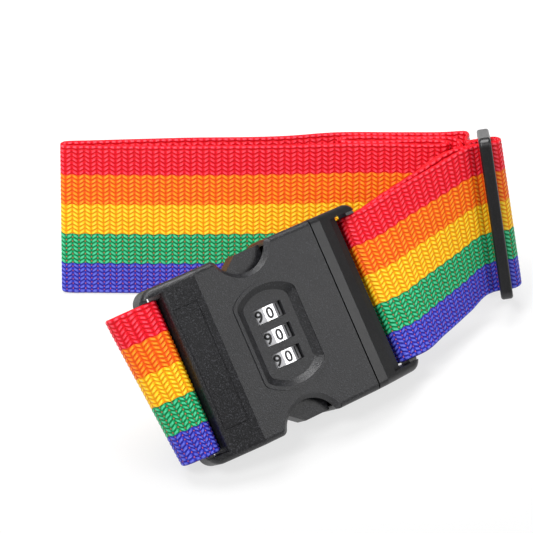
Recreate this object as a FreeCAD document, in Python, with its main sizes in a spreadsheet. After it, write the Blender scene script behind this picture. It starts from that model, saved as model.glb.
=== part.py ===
"""A luggage strap: 50 mm webbing, a three-dial combination side-release buckle and a length slider.

Frame: +Z up, the floor at z = 0, millimetres. The webbing stands on its lower edge and leans back.
The buckle has a frame of its own: x from the lock's bar to the tongue's bar, y across, z out of its face.
"""

import FreeCAD
import Part
import math
import os
import re

from FreeCAD import Matrix, Placement, Rotation, Vector

# ---------------------------------------------------------------- driving sizes, millimetres and degrees
SIZES = {
    # webbing
    "web_width": 50.0, "web_thickness": 1.5, "web_gap": 0.2, "lean": 32.0, "bundle_x": -7.9, "bundle_y": 42.1,
    # buckle as a whole, and where it lies
    "buckle_width": 57.5, "buckle_height": 15.0, "end_height": 9.0, "corner_radius": 4.5, "edge_radius": 2.0,
    "buckle_x": -39.2, "buckle_y": -41.8, "buckle_lift": 0.8, "buckle_yaw": 35.0, "buckle_slope": 46.0,
    # lock half
    "lock_length": 60.2, "shell_wall": 1.8, "split_height": 7.0, "face_start": 17.1,
    "bar_depth": 3.0, "bar_low": 1.5, "web_slot": 3.4, "web_slot_length": 52.0, "slot_wall": 2.0,
    "web_in_slot": 2.4, "slot_lip": 1.3,
    "panel_start": 7.5, "panel_length": 8.2, "panel_width": 39.6, "panel_line": 0.45, "panel_depth": 0.3,
    "notch_at": 34.7, "notch_depth": 7.35, "notch_width": 18.66, "notch_bevel": 1.4, "notch_corner": 2.2,
    # dials
    "dial_at": 36.0, "dial_drop": 6.9, "dial_radius": 6.1, "dial_width": 4.5, "dial_pitch": 7.25,
    "window_length": 10.2, "window_width": 4.8,
    "recess_length": 21.4, "recess_straight": 24.6, "recess_arch": 3.9, "recess_depth": 1.5,
    "recess_slope": 2.5, "recess_corner": 2.6, "plate_drop": 1.4, "rim_width": 1.1, "rim_height": 0.3,
    "shaft_radius": 1.5, "running_gap": 0.05, "sleeve_radius": 2.6, "sleeve_length": 6.95,
    "flange_radius": 3.2, "flange_width": 1.1, "flange_notch": 1.6, "rib_at": 12.9, "rib_width": 1.2,
    # tongue half
    "tongue_gap": 0.6, "tongue_length": 20.2, "tongue_slot": 5.6,
    "neck_length": 7.0, "neck_width": 49.0, "neck_gap": 0.6, "neck_plate": 1.9,
    "arm_pivot_in": 3.0, "arm_pivot_y": 20.2, "arm_pin_radius": 1.0, "arm_root_radius": 2.2,
    "arm_beam": 3.2, "arm_tip_at": 25.5, "arm_shoulder_gap": 0.8, "arm_pad_inset": 0.95,
    "arm_tip_inset": 6.75, "arm_pad_start": 34.2,
    # inside the lock
    "screw_back_x": 13.2, "screw_back_y": 21.0, "screw_front_x": 49.6, "screw_front_y": 8.0,
    "screw_radius": 1.1, "screw_head_radius": 2.1, "screw_head": 1.2, "screw_length": 9.5, "boss_radius": 2.6,
    "slide_plate": 2.0, "slide_start": 20.6, "slide_length": 8.5, "slide_width": 23.0, "tooth_length": 3.3,
    "spring_wire": 0.5, "slide_spring_radius": 1.5, "leaf": 0.3, "washer_wall": 0.4,
    "button_at": 49.0, "button_radius": 2.0, "button_height": 3.4, "button_flange": 0.9,
    # length slider
    "slider_length": 54.7, "slider_width": 22.0, "slider_thickness": 4.0, "slider_rail": 3.6,
    "slider_slot": 5.1, "slider_slot_length": 50.8, "slider_corner": 3.0,
    "slider_x": 71.6, "slider_y": 11.9, "slider_z": 9.8,
}

doc = FreeCAD.newDocument("luggage_strap")
sheet = doc.addObject("Spreadsheet::Sheet", "sizes")
for row, (alias, value) in enumerate(SIZES.items(), start=1):
    sheet.set(f"A{row}", alias)
    sheet.set(f"B{row}", repr(value))
    sheet.setAlias(f"B{row}", alias)
doc.recompute()

WORD = re.compile(r"\b(" + "|".join(SIZES) + r")\b")


def bound(text):
    """An expression in alias words as FreeCAD's expression engine wants it."""
    return WORD.sub(r"sizes.\1", str(text))


def size(alias):
    return float(getattr(sheet, alias))


# ---------------------------------------------------------------- frames
yaw, slope = math.radians(size("buckle_yaw")), math.radians(size("buckle_slope"))
ALONG = Vector(math.cos(yaw), math.sin(yaw), 0)
ACROSS = Vector(-math.sin(yaw) * math.cos(slope), math.cos(yaw) * math.cos(slope), math.sin(slope))
OUT = ALONG.cross(ACROSS)
BUCKLE_ORIGIN = Vector(
    size("buckle_x"), size("buckle_y"), size("buckle_lift") + size("buckle_width") / 2 * ACROSS.z
)
SLIDER_UP = Vector(-0.165, 0.43, 0.882).normalize()
leaning_back = Vector(0.069, 0.902, -0.425)
SLIDER_BACK = (leaning_back - SLIDER_UP * SLIDER_UP.dot(leaning_back)).normalize()
SLIDER_RIGHT = SLIDER_BACK.cross(SLIDER_UP)
SLIDER_ORIGIN = (
    Vector(size("slider_x"), size("slider_y"), size("slider_z")) + SLIDER_UP * (size("slider_length") / 2)
)


def frame(origin, x, y, z):
    return Placement(Matrix(x.x, y.x, z.x, origin.x, x.y, y.y, z.y, origin.y, x.z, y.z, z.z, origin.z))


BUCKLE = frame(BUCKLE_ORIGIN, ALONG, ACROSS, OUT)
SLIDER = frame(SLIDER_ORIGIN, SLIDER_BACK, SLIDER_UP, SLIDER_RIGHT)

# ---------------------------------------------------------------- helpers that make bound objects
nodes = {}


def bind(thing, **expressions):
    for name, text in expressions.items():
        thing.setExpression(name.replace("__", "."), bound(text))
    return thing


def put(thing, at, turned=None):
    if turned:
        thing.Placement = Placement(Vector(), turned)
    x, y, z = at
    return bind(thing, Placement__Base__x=x, Placement__Base__y=y, Placement__Base__z=z)


def block(name, length, width, height, at, turned=None):
    """A box whose place is its lowest corner in x, its middle in y and its lowest face in z."""
    x, y, z = at
    thing = doc.addObject("Part::Box", name)
    bind(thing, Length=length, Width=width, Height=height)
    return put(thing, (x, f"({y}) - ({width}) / 2", z), turned)


TO_Y = Rotation(Vector(1, 0, 0), -90)
TO_X = Rotation(Vector(0, 1, 0), 90)


def rod(name, radius, length, at, turned=None):
    thing = doc.addObject("Part::Cylinder", name)
    bind(thing, Radius=radius, Height=length)
    return put(thing, at, turned)


def cone(name, low, high, height, at):
    thing = doc.addObject("Part::Cone", name)
    bind(thing, Radius1=low, Radius2=high, Height=height)
    return put(thing, at)


def fuse(name, *pieces):
    thing = doc.addObject("Part::MultiFuse", name)
    thing.Shapes = list(pieces)
    return thing


def cut(name, base, *tools):
    thing = doc.addObject("Part::Cut", name)
    thing.Base = base
    thing.Tool = tools[0] if len(tools) == 1 else fuse(name + "_tools", *tools)
    return thing


def common(name, base, tool):
    thing = doc.addObject("Part::Common", name)
    thing.Base, thing.Tool = base, tool
    return thing


def rounded(name, base, radius, chosen):
    """Fillets the edges whose middle point passes the test."""
    doc.recompute()
    thing = doc.addObject("Part::Fillet", name)
    thing.Base = base
    picked = []
    for number, edge in enumerate(base.Shape.Edges, start=1):
        middle = edge.valueAt((edge.FirstParameter + edge.LastParameter) / 2)
        if chosen(edge, middle):
            picked.append((number, radius, radius))
    thing.Edges = picked
    return thing


def plain(name, shape):
    thing = doc.addObject("Part::Feature", name)
    thing.Shape = shape
    return thing


def node(name, thing, place=None):
    thing.Label = name
    if place is not None:
        thing.Placement = place
    nodes[name] = thing
    return thing


def profile(name, points, width):
    """A closed outline in x and z, as wide as the expression says, centred on y = 0."""
    corners = [Vector(x, 0, z) for x, z in points]
    sketch = Part.Face(Part.makePolygon(corners + corners[:1]))
    thing = doc.addObject("Part::Extrusion", name)
    thing.Base = plain(name + "_outline", sketch)
    thing.DirMode, thing.Dir, thing.Solid, thing.Symmetric = "Custom", Vector(0, 1, 0), True, True
    return bind(thing, LengthFwd=width)


def is_along(edge, axis):
    direction = edge.tangentAt((edge.FirstParameter + edge.LastParameter) / 2)
    return len(edge.Vertexes) == 2 and abs(direction.dot(axis)) > 0.95


# ---------------------------------------------------------------- buckle: shells of the lock
L, W, H = size("lock_length"), size("buckle_width"), size("buckle_height")
AXIS_Y, AXIS_Z = Vector(0, 1, 0), Vector(0, 0, 1)
END_H, FACE = size("end_height"), size("face_start")
SPLIT = size("split_height")


def lock_body(name):
    """The lock's outside, solid: a sloped end, a flat face, round corners and soft long edges."""
    raw = profile(name + "_raw", [(0, 0), (L, 0), (L, H), (FACE, H), (0, END_H)], "buckle_width")
    corners = rounded(
        name + "_corners", raw, size("corner_radius"), lambda edge, middle: is_along(edge, AXIS_Z) and middle.x < 1)

    def soft(edge, middle):
        side = abs(middle.y) > W / 2 - 0.1 and not is_along(edge, AXIS_Z)
        end = middle.x < size("corner_radius") and (middle.z < 0.1 or middle.z > END_H - 0.1)
        return (side and middle.x < L - 0.1) or (end and not is_along(edge, AXIS_Z))

    return rounded(name + "_soft", corners, size("edge_radius"), soft)


def web_slot(name, start):
    return block(name, "web_slot", "web_slot_length", "3 * buckle_height", (start, "0", "-buckle_height"))


def slot_lip(name):
    """Rounds the slot's upper edge on the face's side."""
    wall, radius = size("bar_depth") + size("web_slot"), size("slot_lip")
    rise = (H - END_H) / FACE
    top = END_H + wall * rise
    points = [(wall - 0.5, top + 2), (wall + radius, top + 2)]
    for step in range(7):
        angle = math.radians(90 + 15 * step)
        x = wall + radius + radius * math.cos(angle)
        points.append((x, top + (x - wall) * rise - radius + radius * math.sin(angle)))
    points.append((wall - 0.5, points[-1][1]))
    return profile(name, points, "web_slot_length")


def bar_relief(name, start):
    """Takes the bar's middle down to its own thickness, above and below."""
    over = block(name + "_over", "bar_depth + 20", "web_slot_length", "20", (start, "0", "split_height"))
    under = block(name + "_under", "bar_depth + 20", "web_slot_length", "20", (start, "0", "bar_low - 20"))
    return over, under


def notch_outline(side, grown, z):
    """The thumb notch seen from above: a round bite with rounded corners at the long side."""
    depth, half = size("notch_depth"), size("notch_width") / 2
    bite = (half * half + depth * depth) / (2 * depth)
    middle = Vector(size("notch_at"), side * (W / 2 - depth + bite), z)
    corner = size("notch_corner") - grown
    bite += grown
    drop = abs(middle.y) - (W / 2 - size("notch_corner"))
    reach = math.sqrt((bite + corner) ** 2 - drop ** 2)
    far = side * (W / 2 + 6)
    edges, places = [], []
    for end in (-1, 1):
        round_middle = Vector(middle.x + end * reach, side * (W / 2 - size("notch_corner")), z)
        inward = (middle - round_middle).normalize()
        outward = Vector(0, side, 0)
        touch, edge = round_middle + inward * corner, round_middle + outward * corner
        bend = round_middle + (inward + outward).normalize() * corner
        places.append((Vector(edge.x, far, z), edge, bend, touch))
    for beyond, edge, bend, touch in places:
        edges += [Part.LineSegment(beyond, edge).toShape(), Part.Arc(edge, bend, touch).toShape()]
    low = middle - Vector(0, side * bite, 0)
    edges.append(Part.Arc(places[0][3], low, places[1][3]).toShape())
    edges.append(Part.LineSegment(places[0][0], places[1][0]).toShape())
    return Part.Wire(Part.__sortEdges__(edges))


def notch(name, side):
    """The notch's tool through the whole thickness, and the one for the bevelled rim on the face."""
    bevel = size("notch_bevel")
    through = Part.Face(notch_outline(side, 0, -H)).extrude(Vector(0, 0, 3 * H))
    rims = [notch_outline(side, 0, H - bevel * 1.2), notch_outline(side, bevel, H + 0.01)]
    return plain(name + "_bite", through), plain(name + "_bevel", Part.makeLoft(rims, True, True))


CAVITY_START = "bar_depth + web_slot + slot_wall"


def lock_cavity(name):
    return block(
        name, f"lock_length - ({CAVITY_START}) + 5", "buckle_width - 2 * shell_wall",
        "buckle_height - 2 * shell_wall", (CAVITY_START, "0", "shell_wall"),
    )


def cavity_roof_cut(name):
    """Keeps the roof's thickness where the face slopes down towards the bar."""
    drop = size("shell_wall") * 1.25
    points = [(0, END_H - drop), (FACE, H - drop), (FACE, H + 5), (0, H + 5)]
    return profile(name, points, "buckle_width + 10")


def arched(length, straight, arch, z):
    """A closed outline with two straight sides along y, two arched ends and rounded corners."""
    half, top = length / 2, straight / 2
    left, right = Vector(-half, top, z), Vector(half, top, z)
    low_left, low_right = Vector(-half, -top, z), Vector(half, -top, z)
    edges = [
        Part.LineSegment(low_left, left).toShape(),
        Part.Arc(left, Vector(0, top + arch, z), right).toShape(),
        Part.LineSegment(right, low_right).toShape(),
        Part.Arc(low_right, Vector(0, -top - arch, z), low_left).toShape(),
    ]
    block_shape = Part.Face(Part.Wire(edges)).extrude(Vector(0, 0, 1))
    upright = [edge for edge in block_shape.Edges if is_along(edge, AXIS_Z)]
    soft = block_shape.makeFillet(size("recess_corner"), upright)
    bottom = [face for face in soft.Faces if abs(face.CenterOfMass.z - z) < 1e-6]
    return bottom[0].OuterWire


def dial_recess():
    """The dials' sunk field: sloped walls down to a flat floor, inside a slightly raised rim."""
    length, straight, arch = size("recess_length"), size("recess_straight"), size("recess_arch")
    side, rim, lift = size("recess_slope"), size("rim_width"), size("rim_height")
    middle = Vector(size("dial_at"), 0, 0)
    top = arched(length, straight, arch, H)
    floor = arched(length - 2 * side, straight - side, arch - side * 0.3, H - size("recess_depth"))
    bowl = Part.makeLoft([floor, top], True)
    bowl = bowl.fuse(Part.Face(top).extrude(Vector(0, 0, 2)))
    outer = Part.Face(arched(length + 2 * rim, straight + rim, arch + rim * 0.6, H - 0.2))
    band = outer.extrude(Vector(0, 0, lift + 0.2))
    for shape in (bowl, band):
        shape.translate(middle)
    return plain("recess_bowl", bowl), plain("recess_rim", band)


def housing_top():
    body = lock_body("top")
    cavity = common("top_cavity", lock_cavity("top_cavity_box"), block(
        "top_cavity_reach", "lock_length + 20", "buckle_width", "buckle_height", ("0", "0", "0")))
    hollow = cut("top_hollow_tool", cavity, cavity_roof_cut("top_roof"))
    bowl, rim = dial_recess()
    below = block("top_below", "lock_length + 20", "buckle_width + 20", "split_height + 20",
                  ("-10", "0", "-20"))
    over, under = bar_relief("top_bar", "-20 + 0.001")
    faced = fuse("top_faced", body, rim)
    shell = cut(
        "top_shell", faced, hollow, web_slot("top_slot", "bar_depth"), over, under, below, bowl,
        *notch("top_notch_left", 1), *notch("top_notch_right", -1), panel_line(), slot_lip("top_slot_lip"),
    )
    floor = "buckle_height - recess_depth"
    plate = block("top_plate", "recess_length - 2", "recess_straight + 5",
                  f"{floor} - (buckle_height - shell_wall) + plate_drop",
                  ("dial_at - recess_length / 2 + 1", "0", "buckle_height - shell_wall - plate_drop"))
    ribs = [
        block(f"top_rib_{i}", "8", "rib_width", "buckle_height - shell_wall - split_height + 1.5",
              ("dial_at - 4", f"{side} * (rib_at + rib_width / 2)", "split_height - 1.5"))
        for i, side in enumerate((1, -1))
    ]
    bosses = [
        rod(f"top_boss_{i}", "boss_radius", "buckle_height - shell_wall - shell_wall - 0.2",
            (x, y, "shell_wall + 0.2"))
        for i, (x, y) in enumerate(SCREWS)
    ]
    low_bosses = common("top_bosses", fuse("top_boss_set", *bosses), cut(
        "top_boss_room", lock_body("top_room"), cavity_roof_cut("top_boss_roof")))
    solid = fuse("top_solid", shell, plate, *ribs, low_bosses)
    windows = [
        block(f"top_window_{i}", "window_length", "window_width", "6",
              ("dial_at - window_length / 2", f"{i} * dial_pitch", "buckle_height - 5"))
        for i in (-1, 0, 1)
    ]
    shaft_hole = rod("top_shaft_hole", "shaft_radius + running_gap", "2 * rib_at + 2 * rib_width + 2",
                     ("dial_at", "-rib_at - rib_width - 1", "buckle_height - dial_drop"), TO_Y)
    holes = [
        rod(f"top_screw_hole_{i}", "screw_radius + running_gap", "screw_length",
            (x, y, "0.5")) for i, (x, y) in enumerate(SCREWS)
    ]
    return node("housing_top", cut("housing_top", solid, *windows, shaft_hole, *holes), BUCKLE)


def panel_line():
    """A fine sunk line round the blank panel on the sloped end."""
    tilt = math.degrees(math.atan2(H - END_H, FACE))
    outer = block("panel_outer", "panel_length", "panel_width", "panel_depth + 2", ("0", "0", "0"))
    inner = block("panel_inner", "panel_length - 2 * panel_line", "panel_width - 2 * panel_line",
                  "panel_depth + 4", ("panel_line", "0", "-1"))
    ring = cut("panel_ring", outer, inner)
    start = size("panel_start")
    surface = END_H + start * (H - END_H) / FACE
    ring.Placement = Placement(Vector(start, 0, surface - size("panel_depth")), Rotation(AXIS_Y, -tilt))
    return ring


SCREWS = [
    ("screw_back_x", "screw_back_y"), ("screw_back_x", "-screw_back_y"),
    ("screw_front_x", "screw_front_y"), ("screw_front_x", "-screw_front_y"),
]


def housing_bottom():
    body = lock_body("bottom")
    over, under = bar_relief("bottom_bar", "-20 + 0.001")
    above = block("bottom_above", "lock_length + 20", "buckle_width + 20", "20", ("-10", "0", "split_height"))
    through = [notch("bottom_notch_left", 1)[0], notch("bottom_notch_right", -1)[0]]
    heads = [
        rod(f"bottom_head_{i}", "screw_head_radius + 0.1", "screw_head", (x, y, "0"))
        for i, (x, y) in enumerate(SCREWS)
    ]
    shanks = [
        rod(f"bottom_shank_{i}", "screw_radius + 0.1", "4", (x, y, "-1")) for i, (x, y) in enumerate(SCREWS)
    ]
    button = rod("bottom_button_hole", "button_radius + 0.1", "6", ("button_at", "0", "-1"))
    pocket = block("bottom_leaf_pocket", "13", "3 * dial_pitch + 1", "2",
                   ("dial_at - 2.5", "0", "shell_wall - 0.5"))
    shell = cut(
        "housing_bottom", body, lock_cavity("bottom_cavity"), web_slot("bottom_slot", "bar_depth"),
        over, under, above, *through, *heads, *shanks, button, pocket,
    )
    return node("housing_bottom", shell, BUCKLE)


# ---------------------------------------------------------------- buckle: what the lock holds
def dials():
    for number, place in enumerate((1, 0, -1), start=1):
        middle = f"{place} * dial_pitch"
        wheel = doc.addObject("Part::Prism", f"dial_{number}_wheel")
        wheel.Polygon = 10
        bind(wheel, Circumradius="dial_radius", Height="dial_width")
        put(wheel, ("dial_at", f"{middle} - dial_width / 2", "buckle_height - dial_drop"), TO_Y)
        start = f"{middle} - dial_width / 2 - 1"
        axis_height = "buckle_height - dial_drop"
        bore = rod(f"dial_{number}_bore", "sleeve_radius", "dial_width + 2",
                   ("dial_at", start, axis_height), TO_Y)
        node(f"dial_{number}", cut(f"dial_{number}", wheel, bore), BUCKLE)
        tube = rod(f"sleeve_{number}_tube", "sleeve_radius", "sleeve_length",
                   ("dial_at", f"{middle} - sleeve_length / 2", axis_height), TO_Y)
        flange = rod(f"sleeve_{number}_flange", "flange_radius", "flange_width",
                     ("dial_at", f"{middle} - sleeve_length / 2", axis_height), TO_Y)
        hole = rod(f"sleeve_{number}_hole", "shaft_radius + running_gap", "sleeve_length + 2",
                   ("dial_at", f"{middle} - sleeve_length / 2 - 1", axis_height), TO_Y)
        gate = block(f"sleeve_{number}_gate", "3", "flange_width + 0.02", "flange_notch",
                     ("dial_at - flange_radius - 1.6", f"{middle} - sleeve_length / 2 + flange_width / 2",
                      f"{axis_height} - flange_notch / 2"))
        whole = fuse(f"sleeve_{number}_whole", tube, flange)
        node(f"dial_sleeve_{number}", cut(f"sleeve_{number}", whole, hole, gate), BUCKLE)


def dial_shaft():
    """The dials' shaft, with a thin head outside one rib."""
    axis_height = "buckle_height - dial_drop"
    reach = "rib_at + rib_width"
    shaft = rod("shaft_rod", "shaft_radius", f"2 * ({reach})", ("dial_at", f"-({reach})", axis_height), TO_Y)
    head = rod("shaft_head", "shaft_radius + 0.8", "0.5", ("dial_at", f"-({reach}) - 0.5", axis_height), TO_Y)
    node("dial_shaft", fuse("dial_shaft", shaft, head), BUCKLE)


def coil(name, radius, length, turns, at, turned):
    """A coil spring of round wire, its ends left plain."""
    wire = size("spring_wire")
    helix = Part.makeHelix((length - wire) / turns, length - wire, radius)
    ring = Part.Wire(Part.makeCircle(wire / 2, Vector(radius, 0, 0), Vector(0, 1, 0)))
    sweep = Part.Wire(helix).makePipeShell([ring], True, True)
    sweep.translate(Vector(0, 0, wire / 2))
    thing = plain(name, sweep)
    thing.Placement = BUCKLE.multiply(Placement(Vector(*at), turned))
    return node(name, thing)


def shaft_washer():
    """The conical spring washer that keeps the dials and their sleeves together."""
    stack = size("dial_pitch") + size("sleeve_length") / 2
    height, wall = size("rib_at") - stack - 0.3, size("washer_wall")
    near, far = size("shaft_radius") + 0.15, size("flange_radius") - 0.2
    outline = [(near, 0), (near, wall), (far, height), (far, height - wall)]
    corners = [Vector(x, 0, z) for x, z in outline]
    section = Part.Face(Part.makePolygon(corners + corners[:1]))
    thing = plain("shaft_spring", section.revolve(Vector(), AXIS_Z, 360))
    thing.Placement = BUCKLE.multiply(
        Placement(Vector(size("dial_at"), stack + 0.15, H - size("dial_drop")), TO_Y))
    return node("shaft_spring", thing)


def springs():
    axis_height = H - size("dial_drop")
    start = size("bar_depth") + size("web_slot") + size("slot_wall") + 0.3
    coil("slide_spring", size("slide_spring_radius"), size("slide_start") - start - 0.3, 6,
         (start, 0, axis_height), TO_X)
    low = size("button_height") + 0.3
    coil("button_spring", size("button_radius") - 0.6, H - size("shell_wall") - low - 0.3, 4,
         (size("button_at"), 0, low), Rotation())


def locking_slide():
    """A comb whose teeth drop into the sleeves' gates when the three digits are right."""
    height = "buckle_height - dial_drop - slide_plate / 2"
    plate = block("slide_plate_body", "slide_length", "slide_width", "slide_plate",
                  ("slide_start", "0", height))
    teeth = [
        block(f"slide_tooth_{i}", "tooth_length + 0.1", "flange_width - 0.1", "slide_plate - 0.6",
              ("slide_start + slide_length - 0.1", f"{i} * dial_pitch - sleeve_length / 2 + flange_width / 2",
               f"{height} + 0.3"))
        for i in (-1, 0, 1)
    ]
    node("locking_slide", fuse("locking_slide", plate, *teeth), BUCKLE)


def detent_spring():
    """A leaf with three fingers under the dials, which makes them click from digit to digit."""
    low = "shell_wall - 0.45"
    base = block("leaf_base", "4", "3 * dial_pitch", "leaf", ("dial_at + 6", "0", low))
    fingers = [
        block(f"leaf_finger_{i}", "9", "dial_width - 1", "leaf", ("dial_at - 2", f"{i} * dial_pitch", low))
        for i in (-1, 0, 1)
    ]
    node("detent_spring", fuse("detent_spring", base, *fingers), BUCKLE)


def reset_button():
    """The code-change button in the back, pushed in with a pen's tip."""
    stem = rod("button_stem", "button_radius", "button_height", ("button_at", "0", "0.1"))
    flange = rod("button_flange_disc", "button_radius + 0.8", "button_flange",
                 ("button_at", "0", "shell_wall + 0.1"))
    node("reset_button", fuse("reset_button", stem, flange), BUCKLE)


def screws():
    pieces = []
    for i, (x, y) in enumerate(SCREWS):
        head = rod(f"screw_head_{i}", "screw_head_radius", "screw_head - 0.1", (x, y, "0.1"))
        shank = rod(f"screw_shank_{i}", "screw_radius", "screw_length - 1.4", (x, y, "0.8"))
        slot_a = block(f"screw_slot_{i}", "2.6", "0.5", "0.5", (f"{x} - 1.3", y, "0"))
        slot_b = block(f"screw_cross_{i}", "0.5", "2.6", "0.5", (f"{x} - 0.25", y, "0"))
        pieces.append(cut(f"screw_{i}", fuse(f"screw_whole_{i}", head, shank), slot_a, slot_b))
    thing = doc.addObject("Part::Compound", "housing_screws")
    thing.Links = pieces
    node("housing_screws", thing, BUCKLE)


# ---------------------------------------------------------------- buckle: tongue half
TONGUE_START = "lock_length + tongue_gap"
TONGUE_END = L + size("tongue_gap") + size("tongue_length")


def tongue_frame():
    start = L + size("tongue_gap")
    points = [(start, 0), (TONGUE_END, 0), (TONGUE_END, END_H), (start + 3.5, H - 0.6), (start, H - 0.3)]
    raw = profile("tongue_raw", points, "buckle_width")
    corners = rounded("tongue_corners", raw, size("corner_radius"),
                      lambda e, m: is_along(e, AXIS_Z) and m.x > TONGUE_END - 1)

    def soft(edge, middle):
        side = abs(middle.y) > W / 2 - 0.1 and not is_along(edge, AXIS_Z)
        near_end = middle.x > TONGUE_END - size("corner_radius")
        end = near_end and (middle.z < 0.1 or middle.z > END_H - 0.1) and not is_along(edge, AXIS_Z)
        return (side and middle.x > start + 0.1) or end

    collar = rounded("tongue_soft", corners, size("edge_radius"), soft)
    slot_start = f"{TONGUE_START} + tongue_length - bar_depth - tongue_slot"
    over = block("tongue_over", "bar_depth + 20", "web_slot_length", "20",
                 (f"{slot_start} + tongue_slot - 0.001", "0", "split_height"))
    under = block("tongue_under", "bar_depth + 20", "web_slot_length", "20",
                  (f"{slot_start} + tongue_slot - 0.001", "0", "bar_low - 20"))
    ramp_points = [
        (TONGUE_END - size("bar_depth") - size("tongue_slot") - 4.0, H),
        (TONGUE_END - size("bar_depth") - size("tongue_slot") - 4.0, END_H + 2.2),
        (TONGUE_END - size("bar_depth"), SPLIT), (TONGUE_END - size("bar_depth"), H),
    ]
    ramp = profile("tongue_ramp", ramp_points, "web_slot_length")
    slot = block("tongue_slot_tool", "tongue_slot", "web_slot_length", "3 * buckle_height",
                 (slot_start, "0", "-buckle_height"))
    shaped = cut("tongue_shaped", collar, slot, over, under, ramp)
    inner = "shell_wall + neck_gap"
    neck = block("tongue_neck", "neck_length + 0.5", "neck_width", f"buckle_height - 2 * ({inner})",
                 (f"{TONGUE_START} - neck_length", "0", inner))
    room = block("tongue_neck_room", "neck_length + 5", "neck_width + 10",
                 f"buckle_height - 2 * ({inner}) - 2 * neck_plate",
                 (f"{TONGUE_START} - neck_length - 5", "0", f"{inner} + neck_plate"))
    plates = cut("tongue_plates", neck, room)
    pins = [
        rod(f"tongue_pin_{i}", "arm_pin_radius", f"buckle_height - 2 * ({inner}) - 1",
            (f"{TONGUE_START} - arm_pivot_in", f"{side} * arm_pivot_y", f"{inner} + 0.5"))
        for i, side in enumerate((1, -1))
    ]
    node("tongue_frame", fuse("tongue_frame", shaped, plates, *pins), BUCKLE)


def latch_arms():
    """Two arms that bend inwards when squeezed. Each is stood in for by a stiff arm on a pin at its root."""
    inner = size("shell_wall") + size("neck_gap") + size("neck_plate") + 0.2
    pivot_x = L + size("tongue_gap") - size("arm_pivot_in")
    pivot_y, beam = size("arm_pivot_y"), size("arm_beam")
    notch_end = size("notch_at") + size("notch_width") / 2
    shoulder_x = notch_end - size("arm_shoulder_gap")
    out_y, tip_y = W / 2 - size("arm_pad_inset"), W / 2 - size("arm_tip_inset")
    low_y = pivot_y - beam / 2
    tip_x = size("arm_tip_at")
    side_points = [
        (pivot_x, low_y), (tip_x + 2.5, low_y), (tip_x, low_y + 2.5), (tip_x, tip_y - 0.8),
        (tip_x + 1.2, tip_y), (size("arm_pad_start"), out_y), (shoulder_x, out_y), (shoulder_x, low_y + beam + 0.6),
        (shoulder_x + 2, low_y + beam), (pivot_x, low_y + beam),
    ]
    for name, side in (("latch_arm_left", 1), ("latch_arm_right", -1)):
        corners = [Vector(x, side * y, 0) for x, y in side_points]
        face = Part.Face(Part.makePolygon(corners + corners[:1]))
        beam_body = doc.addObject("Part::Extrusion", name + "_beam")
        beam_body.Base = plain(name + "_outline", face)
        beam_body.DirMode, beam_body.Dir, beam_body.Solid = "Custom", Vector(0, 0, 1), True
        beam_body.Placement = Placement(Vector(0, 0, inner), Rotation())
        room = "2 * (shell_wall + neck_gap + neck_plate + 0.2)"
        bind(beam_body, LengthFwd=f"buckle_height - {room}")
        at = (f"{TONGUE_START} - arm_pivot_in", f"{side} * arm_pivot_y")
        low = "shell_wall + neck_gap + neck_plate + 0.2"
        root = rod(name + "_root", "arm_root_radius", f"buckle_height - {room}", (*at, low))
        hole = rod(name + "_hole", "arm_pin_radius + running_gap", "buckle_height", (*at, "0"))
        node(name, cut(name, fuse(name + "_whole", beam_body, root), hole), BUCKLE)


# ---------------------------------------------------------------- length slider
def length_slider():
    """A frame of three bars: the strap's sewn end holds the middle one."""
    raw = block("slider_raw", "slider_width", "slider_length", "slider_thickness",
                ("0", "0", "-slider_thickness / 2"))
    corners = rounded("slider_corners", raw, size("slider_corner"), lambda e, m: is_along(e, AXIS_Z))
    slots = [
        block(f"slider_slot_{i}", "slider_slot", "slider_slot_length", "3 * slider_thickness",
              (start, "0", "-1.5 * slider_thickness"))
        for i, start in enumerate(("slider_rail", "slider_width - slider_rail - slider_slot"))
    ]
    holed = cut("slider_holed", corners, *slots)
    half = size("slider_thickness") / 2
    soft = rounded("length_slider", holed, 0.9, lambda e, m: abs(abs(m.z) - half) < 0.01)
    node("length_slider", soft, SLIDER)


# ---------------------------------------------------------------- webbing
LEAN = math.radians(size("lean"))
STAND = Vector(0, math.sin(LEAN), math.cos(LEAN))
HALF_WEB, THICK = size("web_width") / 2, size("web_thickness")
LAYER = THICK + size("web_gap")
LAYER_Y = LAYER / math.cos(LEAN)
FRONT = -13.4  # where the bundle's front layer stands at its right end, from bundle_y
TWIST_STEP = 3.0  # degrees of twist from one section of a strip to the next


def on_floor(x, y, lift=0.0):
    """A place on the strap whose lower edge stands on the floor at x, y."""
    foot = Vector(x + size("bundle_x"), y + size("bundle_y"), lift + THICK / 2 * math.sin(LEAN))
    return foot + STAND * HALF_WEB, STAND


def on_buckle(x, z):
    return BUCKLE_ORIGIN + ALONG * x + OUT * z, ACROSS


def on_slider(back, right):
    return SLIDER_ORIGIN + SLIDER_BACK * back + SLIDER_RIGHT * right, SLIDER_UP


def between(one, other, share):
    """A place part of the way from one to the other."""
    middle = one[0] * (1 - share) + other[0] * share
    return middle, (one[1] * (1 - share) + other[1] * share).normalize()


def turn(one, other, bulge, steps=7):
    """A round fold from one place to the other, half an ellipse that reaches out by the bulge."""
    places = []
    for step in range(steps + 1):
        angle = math.pi * step / steps
        share = (1 - math.cos(angle)) / 2
        middle, across = between(one, other, share)
        places.append((middle + bulge * math.sin(angle), across))
    return places


def eased(places):
    """The places, with more of them wherever the strip twists between two."""
    close = [places[0]]
    for one, other in zip(places, places[1:]):
        steps = max(1, math.ceil(math.degrees(one[1].getAngle(other[1])) / TWIST_STEP))
        close += [between(one, other, step / steps) for step in range(1, steps + 1)]
    return close


def triangle(a, b, c):
    return Part.Face(Part.makePolygon([a, b, c, a]))


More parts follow.
